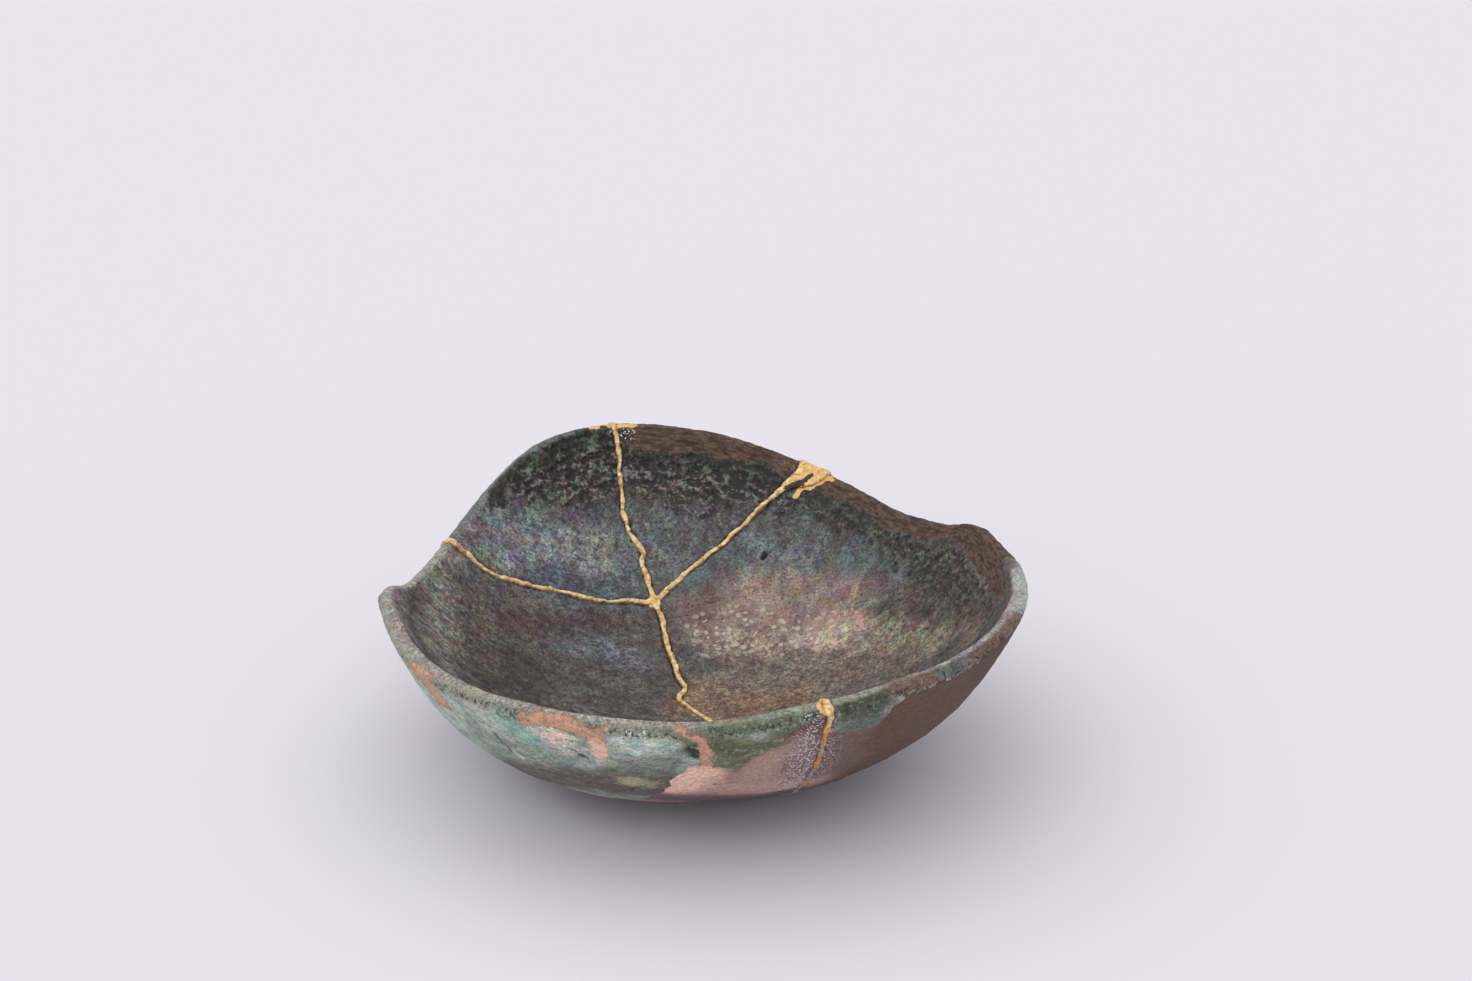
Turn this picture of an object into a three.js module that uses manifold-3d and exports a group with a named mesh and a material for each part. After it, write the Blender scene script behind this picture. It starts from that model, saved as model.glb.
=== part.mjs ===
// A stoneware bowl draped over a round mould, broken into four shards and joined again with gold lacquer.
// The bowl stands on its flat foot at the origin, +Z is up and the front of the bowl looks along -Y.
import * as THREE from "three";
import { mergeVertices } from "three/addons/utils/BufferGeometryUtils.js";
import Module from "manifold-3d";

const wasm = await Module();
wasm.setup();

// The wall, in millimetres.
const MOULD_RADIUS = 120;
const FOOT_RADIUS = 29;
const WALL = 5.8;
const FLOOR = 7.5;
const LIP_CORNER = 2.2;

// The lip before it was pulled into waves, as an angle up from the foot, its rounded part,
// and the angle below which the wall stayed still.
const LIP_ANGLE = THREE.MathUtils.degToRad(60);
const ROUND_LIP_ANGLE = (2 * LIP_CORNER) / MOULD_RADIUS;
const STILL_ANGLE = THREE.MathUtils.degToRad(14);

// The wavy rim: bearing in degrees, counter-clockwise from +X, and height of the lip above the foot.
const RIM = [
  [6, 59.8],
  [16, 58.9],
  [25, 58.9],
  [31, 55.1],
  [38, 53],
  [46, 52.2],
  [58, 55.3],
  [69, 59.6],
  [86, 66.6],
  [104, 70.9],
  [112, 70.8],
  [121, 68.4],
  [133, 59.5],
  [145, 51.8],
  [160, 47.8],
  [170, 49.1],
  [177, 53.2],
  [188, 53.6],
  [206, 52.6],
  [223, 53.6],
  [243, 55.4],
  [272, 56.3],
  [292, 60.3],
  [306, 61.8],
  [320, 60.8],
  [337, 62.2],
];

// How far the hand-pressed wall leaves the round mould: bearing, belly halfway up and tuck at the lip.
const WOBBLE = [
  [0, 1, 2.9],
  [20, 0.3, 2.8],
  [60, 0, 1],
  [130, 0, 1],
  [178, 0.6, 1.2],
  [192, 1.6, 3.2],
  [209, 3.4, 2.4],
  [237, 2, 1.3],
  [275, 0.2, 1],
  [335, 2.3, 1.6],
];

// The cracks as seen from above: x, y and width of the gold at each turn, from the star to past the rim.
const CRACKS = {
  left: [
    [-13, 60.3, 2.6],
    [-19, 59.3, 2.3],
    [-23, 58.9, 1.9],
    [-31, 56.5, 1.8],
    [-36, 55.8, 2],
    [-46, 54.5, 1.8],
    [-54, 52, 2],
    [-63, 49.2, 2],
    [-68, 47.7, 1.9],
    [-73, 47.6, 1.8],
    [-80, 48.6, 2.2],
    [-98, 52, 2.4],
  ],
  back: [
    [-15.5, 58, 2.6],
    [-16, 65, 2.4],
    [-19.2, 72, 2.1],
    [-19, 75.3, 2.3],
    [-22.5, 78.5, 2.1],
    [-25.9, 84.8, 2.1],
    [-26, 88, 1.9],
    [-27.6, 93.5, 1.9],
    [-26.8, 96.6, 2],
    [-28.3, 99, 2.2],
    [-31, 109, 2.6],
  ],
  right: [
    [-16.5, 59, 2.6],
    [-11.7, 63.3, 2.2],
    [-8.3, 66.8, 2.3],
    [-4.8, 70.3, 1.9],
    [1.4, 75, 2],
    [8.5, 79.4, 1.9],
    [15.2, 83.8, 1.9],
    [22, 87.6, 1.9],
    [27, 89.6, 2.4],
    [31.5, 90.6, 4.5],
    [38, 91.3, 11.5],
    [46, 100, 14],
  ],
  front: [
    [-15.8, 62, 2.6],
    [-12.5, 55, 2.1],
    [-10.6, 45.4, 2.2],
    [-7.4, 34, 2.2],
    [-6.6, 30, 2.2],
    [-4.2, 24.4, 2.3],
    [-6.2, 19.5, 2.3],
    [-4, 15.2, 2.1],
    [2.7, 7.6, 2],
    [14, -20, 2],
    [26, -50, 1.9],
    [34, -78, 1.9],
    [38, -94, 2.2],
    [42, -106, 2.4],
  ],
};
const STAR = [-15.6, 60];
const STAR_RADIUS = 2.1;
const STAR_SIDES = 14;

// The gold stands a little proud of both faces and keeps clear of the shards.
const GOLD_PROUD = 0.4;
const GOLD_GAP = 0.3;
const GOLD_FOOT_RECESS = 0.2;

// How finely the curves are cut.
const TURNS = 80;
const OUTSIDE_ROWS = 10;
const INSIDE_ROWS = 10;
const CORNER_ROWS = 3;
const CRACK_STEP = 4;
const CRACK_HEADING = 0.01;
const FOOT_RING = 0.5;

// How far a cutting blade reaches past the mould to each side.
const BLADE_OUTWARD = 6;
const BLADE_INWARD = 18;

// One bearing on the rim of each shard, to tell the shards apart.
const SHARDS = {
  shard_back_left: 128,
  shard_back: 88,
  shard_right: 10,
  shard_front_left: 230,
};

const CENTRE_HEIGHT = Math.sqrt(MOULD_RADIUS ** 2 - FOOT_RADIUS ** 2);
const CENTRE = new THREE.Vector3(0, 0, CENTRE_HEIGHT);

// The inside is a sphere through the middle of the floor and the inner edge of the lip.
const lipInside = MOULD_RADIUS - WALL;
const lipReach = lipInside * Math.sin(LIP_ANGLE);
const lipRise = CENTRE_HEIGHT - lipInside * Math.cos(LIP_ANGLE) - FLOOR;
const INSIDE_RADIUS = (lipReach ** 2 + lipRise ** 2) / (2 * lipRise);
const INSIDE_CENTRE = FLOOR + INSIDE_RADIUS;

function insideDistance(angle, grow) {
  const lift = INSIDE_CENTRE - CENTRE_HEIGHT;
  const radius = INSIDE_RADIUS - grow;
  const along = -lift * Math.cos(angle);
  return along + Math.sqrt(along ** 2 - lift ** 2 + radius ** 2);
}

function polar(distance, angle) {
  const out = distance * Math.sin(angle);
  return new THREE.Vector2(out, CENTRE_HEIGHT - distance * Math.cos(angle));
}

// The section of the wall, from the middle of the foot, up the outside, over the lip and down the inside.
function wallSection(grow) {
  const outside = MOULD_RADIUS + grow;
  const footHeight = grow > 0 ? GOLD_FOOT_RECESS : 0;
  const footAngle = Math.acos((CENTRE_HEIGHT - footHeight) / outside);
  const lip = LIP_ANGLE + grow / MOULD_RADIUS;
  const corner = LIP_CORNER / MOULD_RADIUS;
  const section = [new THREE.Vector2(0, footHeight)];
  section.push(new THREE.Vector2(outside * Math.sin(footAngle) * FOOT_RING, footHeight));
  for (let row = 0; row < OUTSIDE_ROWS; row++) {
    const angle = THREE.MathUtils.lerp(footAngle, lip - corner, row / OUTSIDE_ROWS);
    section.push(polar(outside, angle));
  }
  for (let row = 0; row <= CORNER_ROWS; row++) {
    const turn = ((Math.PI / 2) * row) / CORNER_ROWS;
    const inward = outside - LIP_CORNER * (1 - Math.cos(turn));
    section.push(polar(inward, lip - corner * (1 - Math.sin(turn))));
  }
  const inside = insideDistance(lip, grow);
  for (let row = CORNER_ROWS; row >= 0; row--) {
    const turn = ((Math.PI / 2) * row) / CORNER_ROWS;
    const outward = inside + LIP_CORNER * (1 - Math.cos(turn));
    section.push(polar(outward, lip - corner * (1 - Math.sin(turn))));
  }
  for (let row = 1; row < INSIDE_ROWS; row++) {
    const angle = (lip - corner) * (1 - row / INSIDE_ROWS);
    section.push(polar(insideDistance(angle, grow), angle));
  }
  section.push(new THREE.Vector2(0, FLOOR + grow));
  return section;
}

// A smooth closed curve through stations round the bowl, each a bearing followed by its values.
function roundTheBowl(stations) {
  const turns = [-360, 0, 360];
  const bearings = turns.flatMap((turn) => stations.map(([bearing]) => bearing + turn));
  const values = turns.flatMap(() => stations.flatMap(([, ...rest]) => rest));
  const curve = new THREE.CubicInterpolant(bearings, values, stations[0].length - 1);
  return (bearing) => [...curve.evaluate(THREE.MathUtils.radToDeg(bearing))];
}

const rimHeight = roundTheBowl(RIM);
const wobble = roundTheBowl(WOBBLE);

function rimAngle(bearing) {
  const [height] = rimHeight(bearing);
  return Math.acos((CENTRE_HEIGHT - height) / (MOULD_RADIUS - WALL / 2));
}

// Slides the upper wall along the mould until the lip follows the wavy rim, then presses it in or out.
// The rounded lip moves as one.
function pressWall(geometry) {
  const at = geometry.attributes.position;
  const point = new THREE.Vector3();
  for (let i = 0; i < at.count; i++) {
    point.fromBufferAttribute(at, i).sub(CENTRE);
    const distance = point.length();
    const bearing = Math.atan2(point.y, point.x);
    const angle = Math.acos(-point.z / distance);
    const share = (angle - STILL_ANGLE) / (LIP_ANGLE - ROUND_LIP_ANGLE - STILL_ANGLE);
    const up = THREE.MathUtils.clamp(share, 0, 1);
    if (up === 0) continue;
    const [belly, tuck] = wobble(bearing);
    const pulled = angle + (rimAngle(bearing) - LIP_ANGLE) * up;
    const pressed = distance + belly * Math.sin(Math.PI * up) - tuck * up ** 3;
    const out = pressed * Math.sin(pulled);
    const height = CENTRE_HEIGHT - pressed * Math.cos(pulled);
    at.setXYZ(i, out * Math.cos(bearing), out * Math.sin(bearing), height);
  }
  return geometry;
}

function solid(geometry) {
  geometry.deleteAttribute("normal");
  geometry.deleteAttribute("uv");
  const merged = mergeVertices(geometry, 1e-4);
  const corners = merged.index.array;
  const kept = [];
  for (let i = 0; i < corners.length; i += 3) {
    const [a, b, c] = corners.slice(i, i + 3);
    if (a !== b && b !== c && c !== a) kept.push(a, b, c);
  }
  const mesh = new wasm.Mesh({
    numProp: 3,
    vertProperties: new Float32Array(merged.attributes.position.array),
    triVerts: new Uint32Array(kept),
  });
  return new wasm.Manifold(mesh);
}

function bowl(grow) {
  const lathe = new THREE.LatheGeometry(wallSection(grow), TURNS);
  lathe.rotateX(Math.PI / 2);
  return solid(pressWall(lathe));
}

// The direction from the centre of the mould to a spot on the inside, given as seen from above.
function rayThrough(x, y) {
  const height = INSIDE_CENTRE - Math.sqrt(INSIDE_RADIUS ** 2 - x ** 2 - y ** 2);
  return new THREE.Vector3(x, y, height).sub(CENTRE).normalize();
}

// A blade that follows one crack and cuts square through the wall.
function crackBlade(route, spare) {
  const turns = route.map(([x, y, width]) => new THREE.Vector3(x, y, width));
  const path = new THREE.CatmullRomCurve3(turns, false, "centripetal");
  const steps = Math.ceil(path.getLength() / CRACK_STEP);
  const blade = new THREE.BoxGeometry(1, 1, 1, steps, 1, 1);
  const at = blade.attributes.position;
  for (let i = 0; i < at.count; i++) {
    const along = at.getX(i) + 0.5;
    const here = path.getPoint(along);
    const behind = path.getPoint(Math.max(along - CRACK_HEADING, 0));
    const ahead = path.getPoint(Math.min(along + CRACK_HEADING, 1));
    const ray = rayThrough(here.x, here.y);
    const heading = rayThrough(ahead.x, ahead.y).sub(rayThrough(behind.x, behind.y));
    const side = new THREE.Vector3().crossVectors(ray, heading).normalize();
    const reach = MOULD_RADIUS + (at.getZ(i) > 0 ? BLADE_OUTWARD : -BLADE_INWARD);
    const point = CENTRE.clone().addScaledVector(ray, reach);
    point.addScaledVector(side, at.getY(i) * (here.z - 2 * spare));
    at.setXYZ(i, point.x, point.y, point.z);
  }
  return solid(blade);
}

function starPlug(spare) {
  const radius = STAR_RADIUS - spare;
  const plug = new THREE.CylinderGeometry(radius, radius, BLADE_OUTWARD + BLADE_INWARD, STAR_SIDES);
  const ray = rayThrough(...STAR);
  const up = new THREE.Vector3(0, 1, 0);
  plug.applyQuaternion(new THREE.Quaternion().setFromUnitVectors(up, ray));
  const middle = CENTRE.clone().addScaledVector(ray, MOULD_RADIUS + (BLADE_OUTWARD - BLADE_INWARD) / 2);
  plug.translate(middle.x, middle.y, middle.z);
  return solid(plug);
}

function crackNetwork(spare) {
  let network = starPlug(spare);
  for (const route of Object.values(CRACKS)) {
    network = network.add(crackBlade(route, spare));
  }
  return network;
}

function piece(name, body, look) {
  const { vertProperties, triVerts, numProp } = body.getMesh();
  const geometry = new THREE.BufferGeometry();
  geometry.setAttribute("position", new THREE.BufferAttribute(vertProperties, numProp));
  geometry.setIndex(new THREE.BufferAttribute(triVerts, 1));
  geometry.computeVertexNormals();
  const mesh = new THREE.Mesh(geometry, new THREE.MeshStandardMaterial(look));
  mesh.name = name;
  return mesh;
}

function nearness(body, bearing) {
  const angle = THREE.MathUtils.degToRad(bearing);
  const spot = polar(MOULD_RADIUS, rimAngle(angle));
  const lip = new THREE.Vector3(spot.x * Math.cos(angle), spot.x * Math.sin(angle), spot.y);
  const { vertProperties, numProp } = body.getMesh();
  let best = Infinity;
  for (let i = 0; i < vertProperties.length; i += numProp) {
    const corner = new THREE.Vector3().fromArray(vertProperties, i);
    best = Math.min(best, corner.distanceTo(lip));
  }
  return best;
}

const kintsugiBowl = new THREE.Group();
kintsugiBowl.name = "kintsugi_bowl";

const broken = bowl(0).subtract(crackNetwork(0)).decompose();
const glaze = { color: 0x5f6a66, roughness: 0.5, metalness: 0 };
for (const [name, bearing] of Object.entries(SHARDS)) {
  const distances = broken.map((body) => nearness(body, bearing));
  const nearest = broken[distances.indexOf(Math.min(...distances))];
  kintsugiBowl.add(piece(name, nearest, glaze));
}

const gold = bowl(GOLD_PROUD).intersect(crackNetwork(GOLD_GAP));
kintsugiBowl.add(piece("gold_seam", gold, { color: 0xd9a94e, roughness: 0.4, metalness: 1 }));

export default kintsugiBowl;
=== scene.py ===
# %% [markdown]
# # A bowl mended with gold
# A stoneware bowl was draped over a round mould, fired dark, broken into four shards and joined
# again with gold lacquer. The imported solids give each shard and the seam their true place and
# size, so this lesson never moves them: it gives each one a denser skin, presses the texture of
# the clay and glaze into that skin, and mixes the glazes.

# %% Load the frame
import math

import bmesh
import bpy
import numpy as np
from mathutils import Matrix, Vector, noise
from mathutils.bvhtree import BVHTree


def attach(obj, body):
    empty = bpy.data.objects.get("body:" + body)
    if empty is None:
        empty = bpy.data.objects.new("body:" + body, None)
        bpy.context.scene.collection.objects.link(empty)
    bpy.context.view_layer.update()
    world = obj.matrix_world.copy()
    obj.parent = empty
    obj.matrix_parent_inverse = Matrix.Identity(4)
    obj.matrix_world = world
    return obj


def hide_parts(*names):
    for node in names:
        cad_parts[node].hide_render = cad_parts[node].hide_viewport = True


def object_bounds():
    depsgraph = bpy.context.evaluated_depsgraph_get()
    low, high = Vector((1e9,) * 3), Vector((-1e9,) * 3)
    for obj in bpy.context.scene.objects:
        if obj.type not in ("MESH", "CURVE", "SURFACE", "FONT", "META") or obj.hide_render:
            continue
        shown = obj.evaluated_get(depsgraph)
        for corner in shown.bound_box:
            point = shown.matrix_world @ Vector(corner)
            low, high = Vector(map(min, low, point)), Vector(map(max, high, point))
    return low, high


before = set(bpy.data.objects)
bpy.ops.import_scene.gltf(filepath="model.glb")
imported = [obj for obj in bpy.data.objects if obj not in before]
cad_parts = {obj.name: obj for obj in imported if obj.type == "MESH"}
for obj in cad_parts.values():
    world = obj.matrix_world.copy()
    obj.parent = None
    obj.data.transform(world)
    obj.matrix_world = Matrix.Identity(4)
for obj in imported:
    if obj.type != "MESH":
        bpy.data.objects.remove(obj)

cad_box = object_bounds()
print("CAD box in metres:", [[round(c, 4) for c in corner] for corner in cad_box])

# %% [markdown]
# ## Finding the way round the bowl
# A potter talks about a spot on a bowl by its bearing round the foot, by how far it lies below
# the lip, and by the face it is on, inside or outside. The wall follows a round mould, so every
# spot also has an angle up from the foot, measured at the centre of that mould. These few
# functions turn a point in space into the potter's words. All lengths in them are millimetres.

# %% Measures of the mould and the rim
MM_IN_M = 1000
BOX_MM = MM_IN_M * np.array(cad_box)
MOULD_RADIUS = 120.0
FOOT_RADIUS = 29.0
RIM_STEP = 4.0
RIM_REACH = 2.6
CENTRE = np.array([0.0, 0.0, math.sqrt(MOULD_RADIUS**2 - FOOT_RADIUS**2)])
SHARDS = ("shard_back_left", "shard_back", "shard_right", "shard_front_left")


def points_mm(mesh):
    flat = np.empty(len(mesh.vertices) * 3)
    mesh.vertices.foreach_get("co", flat)
    return flat.reshape(-1, 3) * MM_IN_M


def bearing_and_rise(points):
    arm = points - CENTRE
    reach = np.linalg.norm(arm, axis=1)
    bearing = np.degrees(np.arctan2(arm[:, 1], arm[:, 0])) % 360
    rise = np.arccos(-arm[:, 2] / reach)
    return bearing, rise, arm / reach[:, None]


clay = np.concatenate([points_mm(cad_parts[name].data) for name in SHARDS])
clay_bearing, clay_rise, _ = bearing_and_rise(clay)
RIM_BEARINGS = np.arange(0, 360, RIM_STEP)
turn_away = np.abs((clay_bearing[None, :] - RIM_BEARINGS[:, None] + 180) % 360 - 180)
RIM_RISE = np.where(turn_away < RIM_REACH, clay_rise[None, :], 0).max(axis=1)


def below_lip(bearing, rise):
    lip = np.interp(bearing, RIM_BEARINGS, RIM_RISE, period=360)
    return (lip - rise) * MOULD_RADIUS


print("rim rises from", RIM_RISE.min().round(3), "to", RIM_RISE.max().round(3), "radians")

# %% [markdown]
# ## Soft masks and clouds
# Glaze has no hard borders: it pools, thins and breaks. A soft step gives a border a width, and a
# cloud of fractal noise makes it wander. `between` keeps a band, `round_to` keeps a stretch of
# bearings and `near` keeps a spot round a point or along a short line. The noise gets a fixed
# seed: without one, `wander` would take another way each time Blender starts.

# %% Soft masks
NOISE_SEED = 5
noise.seed_set(NOISE_SEED)


def step(low, high, value):
    t = np.clip((value - low) / (high - low), 0, 1)
    return t * t * (3 - 2 * t)


def between(low, high, soft, value):
    return step(low - soft, low + soft, value) * (1 - step(high - soft, high + soft, value))


def round_to(start, end, soft, bearing):
    middle = (start + end) / 2
    away = np.abs((bearing - middle + 180) % 360 - 180)
    return 1 - step((end - start) / 2 - soft, (end - start) / 2 + soft, away)


def near(points, route, radius):
    route = np.atleast_2d(np.array(route, float))
    closest = np.full(len(points), np.inf)
    for start, end in zip(route, np.concatenate([route[1:], route[-1:]])):
        line = end - start
        share = np.clip((points - start) @ line / max(line @ line, 1e-9), 0, 1)
        spot = start + share[:, None] * line
        closest = np.minimum(closest, np.linalg.norm(points - spot, axis=1))
    return np.clip(1 - closest / radius, 0, 1)


def cloud(points, size, octaves=3, shift=0.0):
    start = Vector((shift, -shift, 0.37 * shift))
    scaled = (Vector(p) / size + start for p in points)
    return np.fromiter((noise.fractal(p, 1.0, 2.1, octaves) for p in scaled), float, len(points))


def wander(points, size, amount):
    moved = [noise.turbulence_vector(Vector(p) / size, 3, False) for p in points]
    return points + amount * np.array(moved)


def linear(colour):
    share = np.array(colour) / 255
    return np.where(share <= 0.04045, share / 12.92, ((share + 0.055) / 1.055) ** 2.4)


print("grey 128 is", linear((128, 128, 128))[0].round(3), "in linear light")

# %% [markdown]
# ## The clay body of each shard
# Each shard starts as a copy of its solid. The solid has few, long triangles, too coarse to take
# a texture, so a voxel remesh covers it with even squares of well under a millimetre, and a light
# smoothing takes the voxel steps away. Sculpting by hand would do the same job, but a remesh
# gives the same skin on every run. The large shards get larger squares, so that every piece stays
# under 200,000 triangles.

# %% Dense copies of the solids
SMALL_SHARD_SQUARE = 0.00055
LARGE_SHARD_SQUARE = 0.00078
SEAM_SQUARE = 0.000365
SHARD_SMOOTHING = 3
SEAM_SMOOTHING = 4
SQUARES = dict(zip(SHARDS, (SMALL_SHARD_SQUARE,) * 2 + (LARGE_SHARD_SQUARE,) * 2))


def dense_copy(node_name, piece_name, square, smoothing):
    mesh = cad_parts[node_name].data.copy()
    shape = bmesh.new()
    shape.from_mesh(mesh)
    bmesh.ops.remove_doubles(shape, verts=shape.verts, dist=1e-6)
    shape.to_mesh(mesh)
    shape.free()
    piece = bpy.data.objects.new(piece_name, mesh)
    bpy.context.scene.collection.objects.link(piece)
    skin = piece.modifiers.new("even skin", "REMESH")
    skin.mode = "VOXEL"
    skin.voxel_size = square
    ease = piece.modifiers.new("ease", "SMOOTH")
    ease.iterations = smoothing
    ease.factor = 0.5
    bpy.context.view_layer.update()
    ready = piece.evaluated_get(bpy.context.evaluated_depsgraph_get())
    dense = bpy.data.meshes.new_from_object(ready)
    piece.modifiers.clear()
    piece.data = dense
    dense.materials.clear()
    dense.shade_smooth()
    return piece


shards = {}
for name, square in SQUARES.items():
    shards[name] = dense_copy(name, name + "_glazed", square, SHARD_SMOOTHING)
seam = dense_copy("gold_seam", "gold_lacquer_seam", SEAM_SQUARE, SEAM_SMOOTHING)
for piece in [*shards.values(), seam]:
    print(piece.name, sum(len(face.vertices) - 2 for face in piece.data.polygons), "triangles")

# %% [markdown]
# ## How far it is to the gold
# The texture has to know how close the lacquer is, because the clay beside a crack stays calm. The
# lacquer has to know how close the clay is, because gold lies thickest away from an edge. A search
# tree over the faces of the solids answers both, and it is quicker than asking every face.


# %% Distances between gold and clay
def search_tree(names):
    shape = bmesh.new()
    for name in names:
        shape.from_mesh(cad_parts[name].data)
    tree = BVHTree.FromBMesh(shape)
    shape.free()
    return tree


def distance(tree, points):
    nearest = (tree.find_nearest(Vector(p) / MM_IN_M)[3] for p in points)
    return MM_IN_M * np.fromiter(nearest, float, len(points))


gold_tree = search_tree(["gold_seam"])
clay_tree = search_tree(SHARDS)
foot_to_gold = distance(gold_tree, np.zeros((1, 3)))[0]
print("from the middle of the foot to the gold:", foot_to_gold.round(1), "mm")

# %% [markdown]
# ## A survey of one shard
# Before any texture is pressed in, each vertex is surveyed once: its bearing, its depth below the
# lip, its face and its distance from the gold. The face runs from -1 inside, over 0 on top of the
# lip, to +1 outside, read from the way the skin looks. The flow is a map of the wall with the
# slope as its third direction, so that a texture can be drawn out along the slope or round it. On
# the right the glaze was wiped up at a slant; the sweep is a second map that leans there. The reach
# is measured from the centre of the mould: 114 mm at the inner edge of the lip, 120 mm outside.


# %% Survey
def normals_of(mesh):
    flat = np.empty(len(mesh.vertices) * 3)
    mesh.vertex_normals.foreach_get("vector", flat)
    return flat.reshape(-1, 3)


class Survey:
    def __init__(self, piece):
        self.points = points_mm(piece.data)
        self.normals = normals_of(piece.data)
        self.bearing, rise, outward = bearing_and_rise(self.points)
        self.reach = np.linalg.norm(self.points - CENTRE, axis=1)
        self.down = below_lip(self.bearing, rise)
        self.face = np.sum(self.normals * outward, axis=1)
        self.inside = step(0.1, 0.6, -self.face)
        self.outside = step(0.1, 0.6, self.face)
        turn = np.radians(self.bearing)
        self.flow = np.column_stack([100 * np.cos(turn), 100 * np.sin(turn), self.down])
        turn = turn + 0.012 * self.down * round_to(-60, 40, 30, self.bearing)
        self.sweep = np.column_stack([100 * np.cos(turn), 100 * np.sin(turn), self.down])
        self.gold = distance(gold_tree, self.points)
        self.drift = wander(self.points, 14.0, 3.5)
        self.frayed = wander(self.points, 4.0, 1.3)
        self.ragged = cloud(self.points, 7.0, 4)
        self.fray = cloud(self.points, 2.4, 3, 17.0)


surveys = {name: Survey(piece) for name, piece in shards.items()}
for name, survey in surveys.items():
    highest, lowest = survey.down.min(), survey.down.max()
    print(f"{name} lies {highest:.1f} to {lowest:.1f} mm below the lip")

# %% [markdown]
# ## Where each surface lies
# The inside has a dark crust where ash and glaze boiled under the back rim, bare brown clay along
# the lip from the back to the right, and a pale pool with flakes on the floor. The outside is
# celadon at the front left; it ends in runs, given as a depth below the lip for each bearing, and
# the clay below and to the right is bare. The glaze also let go in three salmon patches. The crust
# is given the same way, with a depth where it starts and one where it ends, and tongues of it run
# down the slope. Each of these is one mask that both the texture and the colour read.

# %% Masks for crust and bare clay
GLAZE_ENDS = [
    (0, 1.5), (6, 1), (10, -2), (98, -2), (104, 2), (112, 9), (120, 16), (125, 13), (131, 27),
    (136, 24), (142, 43), (149, 38), (156, 57), (164, 52), (174, 66), (240, 66), (252, 53),
    (258, 49), (264, 39), (266, 27), (269, 19), (272, 17.5), (276, 22), (279, 19.5), (282, 15),
    (285, 8.5), (287, 3), (291, 1.5), (294, 10), (299, 14.5), (302, 12), (305, 7), (307, 2),
    (330, 1),
]
CRUST_STARTS = [
    (0, 14), (12, 15), (30, 12), (40, 8), (60, 8), (80, 9), (90, 9), (101, 10), (104, 1),
    (128, 1.5), (170, 6),
]
CRUST_ENDS = [
    (0, 30), (20, 35), (40, 25), (58, 20), (66, 22), (77, 28), (90, 34), (103, 33), (111, 30),
    (122, 25), (128, 18), (133, 8), (138, 0), (340, 0), (350, 12),
]
BOOMERANG = [
    (-48.5, -87.5, 52.6), (-45, -89.6, 54.2), (-39.6, -92.2, 54.9), (-35.3, -94.2, 54.2),
    (-31.2, -95.5, 53), (-28.2, -94.6, 50), (-27.4, -92.5, 46.4), (-27, -90, 42.8),
]
BOOMERANG_SPUR = [(-28.2, -94.9, 50.4), (-25.1, -97.6, 53.9)]
SLASH_START = [(-5.2, -99.6, 56.2), (-2.9, -100.4, 55.6), (0.6, -100.6, 53.6)]
SLASH = [(1.6, -100.2, 52.4), (3.4, -98.4, 49.6), (3.6, -96.3, 46.4), (3.8, -92.7, 41.4)]
THUMB = [(-83, -51.2, 52), (-79.5, -56.5, 50.5), (-76.9, -57, 46)]
PATCHES = [(BOOMERANG, 4.0), (BOOMERANG_SPUR, 2.6), (SLASH_START, 2.2), (SLASH, 2.5), (THUMB, 8.0)]


def nearest_of(points, routes):
    return np.max([near(points, route, radius) for route, radius in routes], axis=0)


def mask_crust(s):
    tongues = cloud(s.flow * (1, 1, 0.2), 5.0, 3, 4.0)
    edge = 4.0 * s.ragged + 1.5 * s.fray
    starts = np.interp(s.bearing, *zip(*CRUST_STARTS), period=360)
    ends = np.interp(s.bearing, *zip(*CRUST_ENDS), period=360)
    depth = s.down + edge
    fade = 1 - step(0.45, 1.25, (depth + 6.0 * tongues) / np.maximum(ends, 0.1))
    thin = 0.72 + 0.28 * round_to(66, 136, 8, s.bearing)
    s.crust_top = 1 - step(3, 11, depth - starts)
    return s.inside * thin * fade * step(-2.5, 1.5, depth - starts) * step(0, 6, ends)


def mask_bare_lip(s):
    edge = 2.5 * s.ragged + 1.2 * s.fray
    depth = 7.5 + 3 * round_to(84, 104, 8, s.bearing) + 4 * round_to(-8, 28, 6, s.bearing)
    band = 1 - step(depth - 2.5, depth + 2.0, s.down + edge)
    starts = 6 - 12 * step(3, 6, s.down)
    return round_to(starts, 103, 2, s.bearing + 2 * s.ragged) * band * step(-0.3, 0.2, 0.4 - s.face)


def mask_bare_outside(s):
    ends = np.interp(s.bearing + 1.2 * s.ragged, *zip(*GLAZE_ENDS), period=360)
    below = step(-1.2, 1.2, s.down + 1.2 * s.ragged + 1.3 * s.fray - ends)
    patches = nearest_of(s.frayed, PATCHES)
    patches = patches + np.where(patches > 0, 0.16 * s.fray + 0.1 * s.ragged, 0)
    s.patches = step(0.08, 0.56, patches) * step(114.5, 116.0, s.reach)
    return np.maximum(s.outside * below, s.patches)


for s in surveys.values():
    s.crust = mask_crust(s)
    s.bare_lip = mask_bare_lip(s)
    s.bare = np.maximum(s.bare_lip, mask_bare_outside(s))
print("bare clay covers", round(float(np.mean([s.bare.mean() for s in surveys.values()])), 2))
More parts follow.
